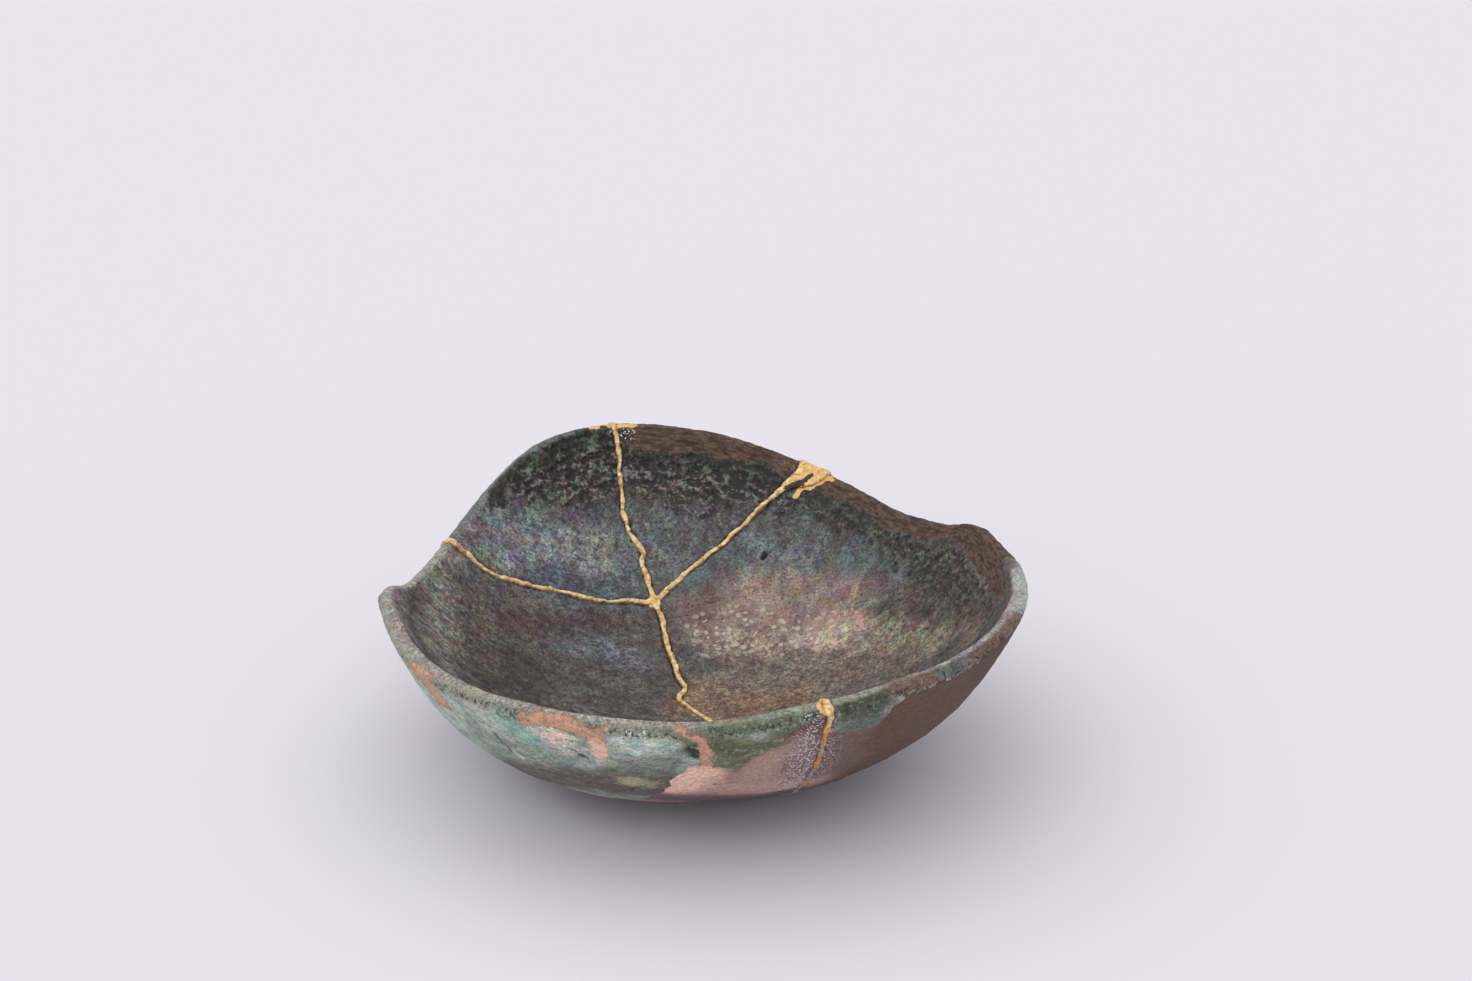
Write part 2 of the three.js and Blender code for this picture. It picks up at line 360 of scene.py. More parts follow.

# %% [markdown]
# ## Small things on the surface
# Pale flakes lie in chains in the pool. White frost grew along the outside crack and beside the
# gold of the rim. A row of glints on the front shoulder is painted highlight: white specks where the
# glaze catches the light. Where lacquer was wiped off, a film of gold stayed behind. Each of these
# is a mask round a short line of points.

# %% Masks for flakes, frost and wiped gold
POOL = [(5, 48, 18), (18, 49, 19), (34, 44, 20.5), (43, 40, 23)]
FROSTED = [(35, -91, 49), (34, -86, 42), (32, -79, 32), (29, -71, 23)]
FROST_TOP = [(33.4, -97.2, 58), (34, -94, 53)]
GLINTS = [(-25, -97.5, 54.4), (-20.3, -98.6, 54.4), (-15.1, -99.6, 54.3), (-10.8, -100, 54.6)]
RIM_FLECKS = [(-27.5, 99.9, 70.2), (-23.5, 99.8, 68.8)]
CHIP_FLECKS = [(28, 92.5, 61.5), (31, 91.5, 61)]
WIPED_RIM = [(-38, 98.5, 71), (-31, 101, 71.5), (-22, 103, 71)]
WIPED_CHIP = [(32.5, 86.8, 52.7), (35.2, 87.2, 54.6), (37.9, 87.1, 56), (40.5, 86.9, 57.2)]
WIPED_CORNER = [(39, 87.3, 56.6), (41.5, 87, 57.6), (44, 87.2, 58)]
LIP_DROP = [(36.8, -94, 60.6), (38.4, -95.8, 60.4)]


def mask_flakes(s):
    return s.inside * step(0.0, 0.5, near(s.drift, POOL, 13.0))


def mask_frost(s):
    crack = np.maximum(near(s.drift, FROSTED, 13.0), near(s.points, FROST_TOP, 5.0))
    crack = s.outside * step(0.0, 0.9, crack)
    flecks = np.maximum(near(s.frayed, RIM_FLECKS, 4.2), 0.6 * near(s.points, CHIP_FLECKS, 3.0))
    return np.maximum(crack, step(0.0, 0.6, flecks))


# painted highlight: this mask places the white glints that stand for the shine of the front shoulder
def mask_glints(s):
    return s.outside * step(0.0, 0.5, near(s.frayed, GLINTS, 1.2))


def mask_wiped(s):
    gold = np.maximum(0.8 * near(s.frayed, WIPED_RIM, 1.9), near(s.frayed, WIPED_CHIP, 2.0))
    gold = np.maximum(gold, near(s.frayed, WIPED_CORNER, 2.4))
    return step(0.2, 0.5, np.maximum(gold, near(s.frayed, LIP_DROP, 2.8)))


for s in surveys.values():
    s.flakes = mask_flakes(s)
    s.frost = mask_frost(s)
    s.glints = mask_glints(s)
    s.wiped = mask_wiped(s)
    covered = [round(float(mask.mean()), 3) for mask in (s.flakes, s.frost, s.glints, s.wiped)]
    print("share under flakes, frost, glints and wiped gold:", covered)

# %% [markdown]
# ## Pressing the texture into the clay
# A texture that catches the light has to be in the mesh. Every vertex moves a little along its
# normal: slow waves from the hand that pressed the clay, ripples in the crust, fine ridges round
# the bare lip, and a step down where the glaze has let go. One deep blow-hole sits on the back
# wall, a few lumps on the right and some hairline cracks outside. Close to the gold the texture
# fades, so that the lacquer lies on a calm edge. The broken faces move out to meet the lacquer, and
# the foot stays flat.

# %% Relief
BLOW_HOLE = [(21.0, 73.0, 35.2), (21.9, 73.7, 36.1)]
LUMPS = [(77.5, 38.8, 46.8), (78.5, 40, 48.4), (90.2, 8.1, 51.8), (66.1, 58.7, 47.9)]
HAIRLINES = [
    [(-59, -72.3, 41.6), (-56.5, -71.1, 37.8), (-53.8, -69.2, 33.6)],
    [(-36, -88.1, 44.2), (-33.7, -87.5, 42.3), (-31.2, -87.1, 40.5)],
    [(3.7, -83.4, 30.6), (5.4, -81.8, 29.1), (7.5, -81.9, 29.4), (9.6, -83, 30.6), (12, -82.4, 30.4)],
    [(7.5, -81.9, 29.4), (8.6, -80.2, 27.8)],
]
CRACK_FACE = 0.5
CRACK_CLOSE = 0.35
FOOT_HEIGHT = 0.7
FOOT_SLACK = 0.35


def gap_to(points, route, within):
    return within * (1 - near(points, route, within))


def relief(s):
    waves = 0.35 * cloud(s.points, 28.0, 2)
    s.boil = cloud(s.flow * (0.7, 0.7, 1.1), 2.3, 4, 11.0)
    crust = s.crust * (0.6 * s.boil + 0.1)
    glaze = (1 - s.crust) * 0.12 * cloud(s.points, 3.5, 4, 31.0)
    ridges = cloud(s.flow * (0.09, 0.09, 0.8), 1.0, 3, 23.0)
    bare = s.bare * (0.10 * ridges - 0.22) + s.bare_lip * 0.16 * s.boil
    lip = (1 - step(3, 6, s.down)) * (1 - s.bare) * 0.1 * s.fray
    s.hole_gap = gap_to(s.points, BLOW_HOLE, 4.0)
    brim = 0.4 * np.exp(-((s.hole_gap - 1.6) ** 2) * 4)
    hole = s.inside * (brim - 1.4 * (1 - step(0.3, 1.2, s.hole_gap)))
    lumps = [np.exp(-(np.linalg.norm(s.points - lump, axis=1) ** 2)) for lump in LUMPS]
    s.lump = s.inside * np.max(lumps, axis=0)
    lines = [near(s.frayed, line, 1.0) for line in HAIRLINES]
    s.hairline = s.outside * step(0.15, 0.65, np.max(lines, axis=0))
    calm = step(0.4, 2.0, s.gold)
    return calm * (waves + crust + glaze + bare + lip + hole + 0.7 * s.lump - 0.25 * s.hairline)


def press(piece, s):
    height = relief(s)
    on_foot = s.points[:, 2] < FOOT_HEIGHT
    height[on_foot] = 0
    height[s.gold < CRACK_FACE] = CRACK_CLOSE
    moved = s.points + s.normals * height[:, None]
    moved[on_foot & (moved[:, 2] < FOOT_SLACK), 2] = 0
    moved = np.clip(moved, *BOX_MM)
    piece.data.vertices.foreach_set("co", (moved / MM_IN_M).ravel())
    piece.data.update()
    return height


for name, piece in shards.items():
    height = press(piece, surveys[name])
    print(name, "relief from", height.min().round(2), "to", height.max().round(2), "mm")

# %% [markdown]
# ## Washes of glaze
# The glaze is painted as a potter would: a ground colour for each face, then washes laid over it,
# each a soft spot of one colour with a wandering edge. The washes are stored on the vertices as
# the colour `tint`, and the colour of the bare clay as `clay`. Fine speckle comes later, from the
# material, because it is smaller than the skin's squares.

# %% Inside washes
INSIDE_GROUND = (88, 82, 79)
INSIDE_WASHES = [
    ("slate on the back wall", [(-60, 66, 46), (-29, 73, 34), (0, 80, 36), (26, 76, 37)],
     26, (100, 105, 108), 0.9),
    ("grey under the left rim", [(-84, 36, 52), (-78, 53, 53)], 14, (130, 125, 120), 0.9),
    ("teal grey under the rim", [(-79, 57, 55), (-70, 70, 61)], 8, (122, 126, 123), 0.9),
    ("pale green bloom", [(-51, 75, 51), (-54, 70, 47)], 8, (120, 124, 112), 0.7),
    ("pale teal bloom", [(-65, 62, 49), (-62, 58, 44)], 8, (122, 131, 128), 0.7),
    ("green grey bloom", [(-67, 53, 44), (-60, 56, 40)], 7, (124, 128, 112), 0.6),
    ("slate on the left", [(-62, 60, 46), (-50, 67, 39), (-35, 70, 37)], 14, (130, 138, 140), 0.9),
    ("olive bloom", [(-37, 73, 41), (-35, 70, 38)], 6, (114, 116, 94), 0.5),
    ("blue along the left crack", [(-50, 56, 32), (-26, 60, 27)], 10, (84, 90, 100), 0.8),
    ("dark plum behind the star", [(6, 77, 34), (8, 84, 42)], 10, (82, 80, 90), 0.7),
    ("grey lilac", [(31, 68, 34), (17, 66, 29)], 10, (126, 124, 126), 0.9),
    ("teal on the right", [(63, 47, 38), (58, 55, 38.6), (52, 63, 40)], 11, (86, 103, 105), 0.9),
    ("rose above the pool", [(14, 62, 26), (30, 60, 28), (52, 50, 30)], 13, (148, 128, 121), 0.9),
    ("rose left of the pool", [(-4, 60, 21), (3, 54, 17)], 9, (122, 100, 96), 0.9),
    ("warm pool", [(8, 50, 18), (28, 45, 19), (44, 38, 22)], 17, (151, 131, 119), 1.0),
    ("bright end of the pool", [(40, 40, 22), (50, 33, 24)], 12, (188, 166, 149), 0.9),
    ("plum streak", [(1, 64, 26), (2, 52, 19)], 5, (112, 80, 80), 0.8),
    ("rose streak on the right", [(60, 50, 34), (68, 40, 35)], 9, (108, 94, 92), 0.8),
    ("beige right wall", [(58, 28, 27), (68, 22, 31), (73, 9, 34)], 13, (140, 128, 111), 0.9),
    ("brown right wall", [(67, 38, 33), (80, 20, 40)], 10, (94, 85, 79), 0.8),
    ("green right wall", [(79, 46, 48), (74, 43, 42)], 11, (68, 76, 62), 0.8),
    ("plum spot", [(74, 25, 37.4)], 4.5, (60, 42, 44), 0.8),
    ("olive right wall", [(88, 12, 46), (86, -8, 46)], 12, (124, 112, 101), 0.9),
    ("brown floor", [(44, 25, 14), (28, 30, 11), (13, 27, 11)], 14, (120, 110, 101), 0.9),
    ("warm grey floor", [(60, 8, 20), (45, 12, 13), (25, 18, 9)], 15, (114, 102, 93), 0.9),
    ("warm brown floor", [(0, 17, 9), (12, 12, 9), (30, 11, 12)], 14, (130, 105, 86), 1.0),
    ("grey teal floor", [(0, 38, 10), (8, 36, 9)], 7, (100, 97, 95), 0.8),
    ("slate floor", [(-22, 36, 11), (-30, 40, 15)], 10, (94, 91, 92), 0.8),
    ("blue violet", [(-19, 36, 13), (-30, 38, 15)], 8, (98, 100, 112), 0.9),
    ("blue grey on the left", [(-45, 36, 22), (-38, 36, 19)], 8, (98, 110, 114), 0.8),
    ("dark floor", [(-42, 26, 14), (-24, 20, 8)], 12, (84, 80, 78), 0.8),
    ("dark olive left", [(-60, 16, 21), (-58, -8, 20)], 16, (66, 60, 56), 0.9),
    ("plum on the left", [(-64, 34, 29), (-52, 39, 23), (-34, 51, 20)], 9, (82, 62, 65), 0.9),
    ("brown left wall", [(-71, 33, 34), (-72, 4, 29)], 10, (94, 82, 72), 0.8),
    ("grey green left wall", [(-83, 25, 42), (-82, 8, 38), (-80, -14, 38)], 12, (133, 129, 119), 0.9),
    # partly the lip's own pale glaze, partly painted light: the wash is made paler to lift the shade
    # inside the left lip
    ("pale left lip", [(-94, 14, 53), (-94, -8, 53), (-89, -30, 51)], 8, (142, 138, 130), 0.8),
]
print(len(INSIDE_WASHES), "washes lie inside")

# %% [markdown]
# ## The outside, and the bare clay
# Outside, celadon was poured over the wall, so its washes are lighter, and they are small where it
# broke over the edge. The clay has washes of its own, from pink at the front to brown at the right,
# because the fire reached it unevenly, and they show only where the masks say that glaze is missing.
# The dark wash near the foot is painted shade, where the wall curves under towards the table.

# %% Outside washes
OUTSIDE_GROUND = (152, 161, 153)
OUTSIDE_WASHES = [
    ("celadon", [(-80, -40, 45), (-64, -76, 50)], 22, (166, 176, 168), 0.9),
    ("grey brown at the back", [(-62, 8, 20), (-58, 30, 23), (-46, -18, 13)], 15, (104, 94, 88), 0.8),
    ("warm cloud at the back", [(-92, 22, 42), (-88, 6, 38)], 11, (182, 178, 166), 0.7),
    ("dark celadon at the back", [(-88, 42, 50), (-80, 50, 46)], 12, (126, 138, 128), 0.8),
    ("soft green low", [(-60, -64, 34), (-50, -74, 36)], 12, (146, 155, 143), 0.9),
    ("teal", [(-55, -82, 49), (-47, -84, 45)], 6, (132, 170, 158), 0.8),
    ("warm white", [(-44, -89, 50), (-38, -90, 47)], 7, (212, 200, 184), 0.8),
    ("white cloud", [(-36, -87, 43), (-26, -90, 42)], 7, (184, 182, 172), 0.8),
    ("pale celadon at the front", [(-18, -98, 51), (-8, -100, 52)], 8, (194, 204, 198), 0.9),
    ("dark celadon", [(-22, -86, 36), (-10, -92, 42)], 8, (122, 124, 115), 0.8),
    ("grey brown below", [(-50, -56, 22), (-31, -74, 28), (-22, -76, 26), (-10, -78, 26)],
     14, (98, 85, 80), 1.0),
    ("dark green below", [(-24, -82, 32), (-8, -86, 34)], 7, (90, 90, 76), 0.8),
    ("yellow green drop", [(-18.4, -81.3, 30.2), (-14.8, -81.6, 29.9)], 5.5, (158, 158, 114), 0.9),
    ("dark green run", [(3, -99, 51), (13, -96, 47), (23, -94, 46), (28, -95, 51)], 10,
     (108, 107, 80), 1.0),
    ("brown foot of the run", [(6, -92, 41), (16, -91, 41)], 4, (120, 106, 82), 0.8),
    ("green right of the crack", [(42, -95, 59), (52, -89, 58)], 9, (78, 80, 62), 1.0),
    ("teal right of the crack", [(42, -91, 52), (54, -84, 50)], 7, (94, 102, 90), 0.9),
    ("white flake", [(-53, -70, 34), (-51, -70, 32.4)], 2.0, (214, 212, 204), 0.9),
    # painted highlight: a small white spot standing for a glint on the front shoulder
    ("white glint", [(-38, -94, 54)], 1.6, (240, 240, 238), 0.9),
    ("dark marks by the slash", [(0, -97.7, 48.3), (1.6, -95.8, 45.5)], 3.2, (40, 50, 44), 1.0),
]
CLAY_GROUND = (99, 76, 64)
CLAY_WASHES = [
    ("pink below the run", [(-14, -66, 17), (6, -76, 25), (24, -70, 23)], 22, (184, 152, 140), 1.0),
    ("bright pink", [(-10, -78, 27), (-3, -84, 32), (4, -88, 37)], 10, (240, 198, 176), 0.9),
    ("dusky pink", [(19, -85, 35), (20, -91, 41), (28, -90, 45)], 10, (176, 147, 136), 0.9),
    ("lavender pink", [(32, -88, 46), (32, -76, 31)], 11, (135, 114, 110), 0.8),
    ("rose brown", [(44, -86, 48), (42, -74, 33)], 13, (114, 93, 85), 0.9),
    # painted shade: the clay darkens where the wall curves under towards the foot
    ("shade near the foot", [(-13, -69, 18), (2, -67, 17), (14, -63, 15), (27, -58, 15)],
     13, (100, 88, 92), 0.9),
    ("brown under the lip", [(86, -52, 58), (94, -20, 58)], 16, (86, 67, 56), 0.8),
]
SALMON_CLAY = (190, 149, 124)
PALE_SALMON = (222, 186, 164)
BROWN_CLAY = (90, 72, 62)
print(len(OUTSIDE_WASHES), "washes lie outside and", len(CLAY_WASHES), "on the clay")

# %% [markdown]
# ## The lip, and laying the colours
# Glaze thins over a lip, so each stretch of the lip has two colours: one for its top and one for its
# outer edge. `paint` lays everything in order, ground first, with the blow-hole, the lumps, the
# hairlines and the dark line beside the gold last. The dark inside the blow-hole and the dark line
# beside the gold are painted shade. The pale brim of the blow-hole is painted highlight, and the
# cream of the lumps is partly their pale glaze and partly painted highlight. A wash that came later
# on the real bowl comes later here.

# %% Lip colours and painting
LIP_WASHES = [
    ("pale celadon front", 182, 292, (152, 149, 138), (130, 134, 119)),
    ("moss green front", 272, 292, (136, 136, 120), (94, 102, 80)),
    ("dark green by the crack", 292, 303, (146, 150, 132), (66, 70, 50)),
    ("pitted brown", 303, 316, (138, 126, 110), (112, 87, 71)),
    ("pale blue green", 315, 321, (150, 156, 148), (78, 90, 82)),
    ("pitted brown again", 320, 342, (150, 145, 143), (112, 87, 72)),
    ("pale blue green end", 341, 361, (166, 172, 166), (158, 166, 159)),
    ("dark teal back left", 106, 152, (104, 110, 107), (104, 110, 107)),
    ("grey left", 150, 184, (154, 152, 146), (112, 108, 98)),
]
PITTED_LIP = (302, 343)
HOLE_BRIM_HIGHLIGHT = (158, 156, 144)
HOLE_SHADE = (30, 25, 25)
LUMP_PALE_AND_HIGHLIGHT = (172, 166, 148)
HAIRLINE_GLAZE = (48, 44, 40)
HAIRLINE_CLAY = (66, 47, 41)
JOINT_SHADE = (44, 38, 34)


def lay(tint, mask, colour):
    return tint + mask[:, None] * (linear(colour) - tint)


def lay_washes(ground, washes, points, softness):
    tint = np.tile(linear(ground), (len(points), 1))
    for _, route, radius, colour, strength in washes:
        tint = lay(tint, strength * step(0, softness, near(points, route, radius)), colour)
    return tint


def paint(s):
    inside = lay_washes(INSIDE_GROUND, INSIDE_WASHES, s.drift, 0.7)
    outside = lay_washes(OUTSIDE_GROUND, OUTSIDE_WASHES, s.frayed, 0.6)
    tint = inside + step(-0.5, 0.5, s.face)[:, None] * (outside - inside)
    on_lip = 1 - step(0.8, 2.4, s.down + 0.5 * s.ragged)
    s.lip_reach = s.reach + 1.5 * round_to(*PITTED_LIP, 3, s.bearing)
    edge = step(115.4, 117.2, s.lip_reach + 0.6 * s.fray)
    for _, start, end, top_colour, edge_colour in LIP_WASHES:
        here = on_lip * round_to(start, end, 1.5, s.bearing + 2 * s.ragged)
        tint = lay(tint, here, top_colour)
        tint = lay(tint, here * edge, edge_colour)
    # painted highlight: a pale ring on the brim of the blow-hole
    tint = lay(tint, 0.6 * between(1.4, 2.0, 0.5, s.hole_gap) * s.inside, HOLE_BRIM_HIGHLIGHT)
    # painted shade: the inside of the blow-hole is laid nearly black
    tint = lay(tint, s.inside * (1 - step(0.5, 1.4, s.hole_gap + 0.4 * s.fray)), HOLE_SHADE)
    # partly the pale glaze of the lumps, partly painted highlight on their tops
    tint = lay(tint, s.lump, LUMP_PALE_AND_HIGHLIGHT)
    tint = lay(tint, 0.9 * s.hairline, HAIRLINE_GLAZE)
    # painted shade: a dark line in the glaze where it meets the gold
    joint_shade = (1 - step(0.5, 1.2, s.gold)) * step(-0.2, 0.5, s.ragged)
    tint = lay(tint, 0.6 * joint_shade, JOINT_SHADE)
    clay = lay_washes(CLAY_GROUND, CLAY_WASHES, s.drift, 0.7)
    clay = lay(clay, s.patches, SALMON_CLAY)
    clay = lay(clay, s.patches * step(0, 0.6, near(s.frayed, BOOMERANG[-2:], 5.0)), PALE_SALMON)
    clay = lay(clay, 0.75 * s.hairline, HAIRLINE_CLAY)
    return tint, lay(clay, s.bare_lip, BROWN_CLAY)


print(len(LIP_WASHES), "stretches of the lip have colours of their own")

# %% [markdown]
# ## Keeping the painted layers
# A material can read named layers that are stored on the vertices. Colours and maps are stored as
# vectors, and masks as plain numbers. `wall`, `calm`, `combed` and `mossy` say where the material's
# own speckle changes: it is dragged up the side walls, and it is quiet on the rose above the pool.

# %% Painted layers
CALM_ROSE = [(0, 62, 24), (20, 62, 27), (35, 58, 28), (50, 50, 30)]


def store(mesh, name, values):
    kind = "FLOAT_VECTOR" if values.ndim == 2 else "FLOAT"
    layer = mesh.attributes.new(name, kind, "POINT")
    field = "vector" if values.ndim == 2 else "value"
    layer.data.foreach_set(field, np.ascontiguousarray(values).ravel())


for name, piece in shards.items():
    s = surveys[name]
    tint, clay_colour = paint(s)
    lip_edge = between(0.0, 3.0, 0.7, s.down + 0.6 * s.ragged) * step(115.8, 117.0, s.lip_reach)
    specks = lip_edge * np.maximum(round_to(182, 304, 6, s.bearing), round_to(303, 343, 4, s.bearing))
    kept = {"tint": tint, "clay": clay_colour, "flow": s.flow, "sweep": s.sweep}
    kept.update({"crust": s.crust, "crust_top": s.crust_top, "boil": s.boil})
    kept.update({"bare": s.bare, "flakes": s.flakes, "frost": s.frost, "wiped": s.wiped})
    walls = np.maximum(round_to(150, 225, 14, s.bearing), 0.7 * round_to(-35, 30, 12, s.bearing))
    kept["combed"] = walls * (1 - step(30, 70, s.down))
    kept["wall"] = 1 - step(40, 75, s.down)
    kept.update({"glints": s.glints, "rim": 1 - step(1.2, 3.5, s.down)})
    kept["calm"] = step(0, 0.6, near(s.drift, CALM_ROSE, 20.0))
    kept["mossy"] = round_to(-30, 52, 12, s.bearing + 12 * s.ragged)
    kept.update({"lip_specks": specks, "outer": step(-0.5, 0.5, s.face)})
    for label, values in kept.items():
        store(piece.data, label, values)
    print(name, "carries", len(kept), "painted layers")

# %% [markdown]
# ## Building a material from short calls
# A glaze recipe needs many small nodes. A few helpers keep the recipes readable: `add` makes a
# node and fills its sockets with values or links, `layer` lays one colour over another, `vary`
# makes a colour swing lighter and darker with a wave, `two_tone` gives the wave a dark and a pale
# colour, and `dots` scatters round spots. Places are object coordinates in millimetres.


# %% Node helpers
def add(tree, kind, sockets=None, **settings):
    made = tree.nodes.new(kind)
    for name, value in settings.items():
        setattr(made, name, value)
    for name, value in (sockets or {}).items():
        if isinstance(value, bpy.types.NodeSocket):
            tree.links.new(value, made.inputs[name])
        else:
            made.inputs[name].default_value = value
    return made


def rgba(colour):
    return (*linear(colour), 1.0)


def layer(tree, mask, under, over):
    mix = add(tree, "ShaderNodeMix", {0: mask, 6: under, 7: over}, data_type="RGBA")
    return mix.outputs[2]


def vector(tree, operation, *values):
    return add(tree, "ShaderNodeVectorMath", dict(enumerate(values)), operation=operation).outputs[0]


def vary(tree, colour, wave, gain):
    swing = vector(tree, "MULTIPLY_ADD", wave, (gain,) * 3, (1 - gain / 2,) * 3)
    return vector(tree, "MULTIPLY", colour, swing)


def two_tone(tree, colour, wave, low, high, dark, pale):
    swing = layer(tree, soft(tree, wave, low, high), (*dark, 1.0), (*pale, 1.0))
    return vector(tree, "MULTIPLY", colour, swing)


def painted(tree, name, output="Fac"):
    return add(tree, "ShaderNodeAttribute", attribute_name=name).outputs[output]


def soft(tree, value, low, high, to_low=0.0, to_high=1.0):
    sockets = {"Value": value, "From Min": low, "From Max": high}
    sockets.update({"To Min": to_low, "To Max": to_high})
    made = add(tree, "ShaderNodeMapRange", sockets, interpolation_type="SMOOTHSTEP")
    return made.outputs["Result"]


def times(tree, *values):
    product = values[0]
    for value in values[1:]:
        product = add(tree, "ShaderNodeMath", {0: product, 1: value}, operation="MULTIPLY").outputs[0]
    return product


def plus(tree, first, second):
    return add(tree, "ShaderNodeMath", {0: first, 1: second}, operation="ADD").outputs[0]


def ramp(tree, value, stops):
    made = add(tree, "ShaderNodeValToRGB", {"Fac": value})
    bands = made.color_ramp.elements
    while len(bands) < len(stops):
        bands.new(0.5)
    for band, (place, colour) in zip(bands, stops):
        band.position = place
        band.color = rgba(colour)
    return made.outputs["Color"]


def fractal(tree, spot, size_mm, detail=3.0, roughness=0.55, distortion=0.0):
    sockets = {"Vector": spot, "Scale": 1 / size_mm, "Detail": detail}
    sockets.update({"Roughness": roughness, "Distortion": distortion})
    return add(tree, "ShaderNodeTexNoise", sockets).outputs


def dots(tree, spot, size_mm, share):
    found = add(tree, "ShaderNodeTexVoronoi", {"Vector": spot, "Scale": 1 / size_mm}).outputs
    kept = soft(tree, found["Color"], 1 - share, 1.02 - share)
    return times(tree, soft(tree, found["Distance"], 0.46, 0.34), kept)


def new_material(name):
    material = bpy.data.materials.new(name)
    material.use_nodes = True
    tree = material.node_tree
    place = add(tree, "ShaderNodeTexCoord").outputs["Object"]
    spot = vector(tree, "MULTIPLY", place, (MM_IN_M,) * 3)
    return material, tree, tree.nodes["Principled BSDF"], spot


print("white is", rgba((255, 255, 255)), "in a socket")

# %% [markdown]
# ## The fired glaze
# One material serves all four shards, because they were one bowl when they were fired. It starts
# from the painted tint. Inside, drips along the slope, mottling in many hues and a fine speckle
# break the tint up. The rose above the pool stays calm, and the pool is less grainy.

# %% Inside glaze
glaze, tree, shader, spot = new_material("fired_glaze")
tint = painted(tree, "tint", "Vector")
flow = painted(tree, "flow", "Vector")
outer = painted(tree, "outer")
drip = vector(tree, "MULTIPLY", flow, (1.0, 1.0, 0.75))
streak = vector(tree, "MULTIPLY", painted(tree, "sweep", "Vector"), (1.0, 1.0, 0.28))
stroke = vector(tree, "MULTIPLY", flow, (0.45, 0.45, 1.0))
rim = painted(tree, "rim")
fine = fractal(tree, spot, 0.8, 3.0, 0.65)[0]
grit = fractal(tree, spot, 2.2, 4.0, 0.65, 0.3)[0]
slow = fractal(tree, spot, 11.0, 3.0, 0.55, 0.5)[0]
clotted = fractal(tree, spot, 1.5, 4.0, 0.7)[0]
hues = fractal(tree, spot, 6.0, 2.5, 0.55, 0.5)["Color"]

dripping = fractal(tree, drip, 6.0, 5.0, 0.6, 0.6)[0]
wall = painted(tree, "wall")
calm = painted(tree, "calm")
cloudy = layer(tree, wall, fractal(tree, spot, 6.5, 5.0, 0.62, 0.5)[0], dripping)
inner = two_tone(tree, tint, cloudy, 0.40, 0.61, (0.74, 0.64, 0.70), (1.14, 1.22, 1.17))
inner = two_tone(tree, inner, slow, 0.40, 0.60, (1.05, 1.00, 0.94), (0.95, 1.00, 1.04))
inner = layer(tree, wall, vary(tree, inner, hues, 0.3), vary(tree, inner, hues, 1.0))
gritty = two_tone(tree, inner, grit, 0.38, 0.62, (0.72, 0.70, 0.72), (1.26, 1.27, 1.24))
inner = layer(tree, times(tree, calm, 0.6), gritty, inner)
streaky = fractal(tree, streak, 1.9, 4.0, 0.65)[0]
combed = two_tone(tree, inner, streaky, 0.38, 0.62, (0.74, 0.75, 0.74), (1.24, 1.22, 1.18))
inner = layer(tree, painted(tree, "combed"), inner, combed)
speckled = two_tone(tree, inner, clotted, 0.41, 0.59, (0.68, 0.67, 0.68), (1.30, 1.30, 1.28))
inner = layer(tree, calm, speckled, inner)
grainy = vary(tree, inner, fine, 3.8)
inner = layer(tree, painted(tree, "flakes"), grainy, vary(tree, inner, fine, 2.4))
pores = times(tree, soft(tree, clotted, 0.40, 0.33), 0.65)
inner = layer(tree, pores, inner, vector(tree, "MULTIPLY", inner, (0.35, 0.33, 0.34)))
print("inside glaze uses", len(tree.nodes), "nodes")

# %% [markdown]
# ## The glaze outside
# Outside, strokes of a wide brush run round the bowl, with a milky film in some places and inky
# pores in others. The mask `outer` joins the two faces, and the top of the lip stays plainer.

# %% Outside glaze
MILKY_FILM = (206, 210, 204)
swept = layer(tree, rim, fractal(tree, stroke, 4.2, 5.0, 0.65, 0.6)[0], grit)
brushed = two_tone(tree, tint, swept, 0.41, 0.59, (0.64, 0.79, 0.76), (1.24, 1.18, 1.16))
outside = layer(tree, times(tree, rim, 0.7), brushed, tint)
outside = two_tone(tree, outside, grit, 0.40, 0.60, (0.78, 0.81, 0.79), (1.15, 1.14, 1.13))
outside = vary(tree, vary(tree, outside, hues, 0.5), fine, 2.3)
milky = times(tree, soft(tree, fractal(tree, spot, 1.7, 3.0, 0.65)[0], 0.56, 0.64), 0.25)
outside = layer(tree, milky, outside, rgba(MILKY_FILM))
inky = times(tree, soft(tree, clotted, 0.41, 0.34), 0.75)
outside = layer(tree, inky, outside, vector(tree, "MULTIPLY", outside, (0.30, 0.38, 0.34)))
glazed = layer(tree, outer, inner, outside)
glazed = layer(tree, times(tree, rim, 0.3), glazed, vary(tree, tint, fine, 2.8))
print("glaze ground uses", len(tree.nodes), "nodes")

# %% [markdown]
# ## Crust, pits and flakes in the material
# The colour of the crust follows its height: hollows are nearly black, and the tops of the clods
# are plum, grey or green. This is partly the crust's own colour and partly painted light: the black
# of the hollows is painted shade and the palest tops are painted highlights. Just under the lip it
# is dark green, and on the right it is mossy. Pits are small dark dots, and the flakes of the pool
# are larger pale ones, strung in chains.

# %% Crust, pits and flakes
PIT_BLACK = (22, 19, 18)
FLAKE_CREAM = (200, 186, 160)
ripple = fractal(tree, spot, 1.1, 3.0, 0.6)[0]
boil = plus(tree, painted(tree, "boil"), soft(tree, ripple, 0.25, 0.75, -0.7, 0.7))
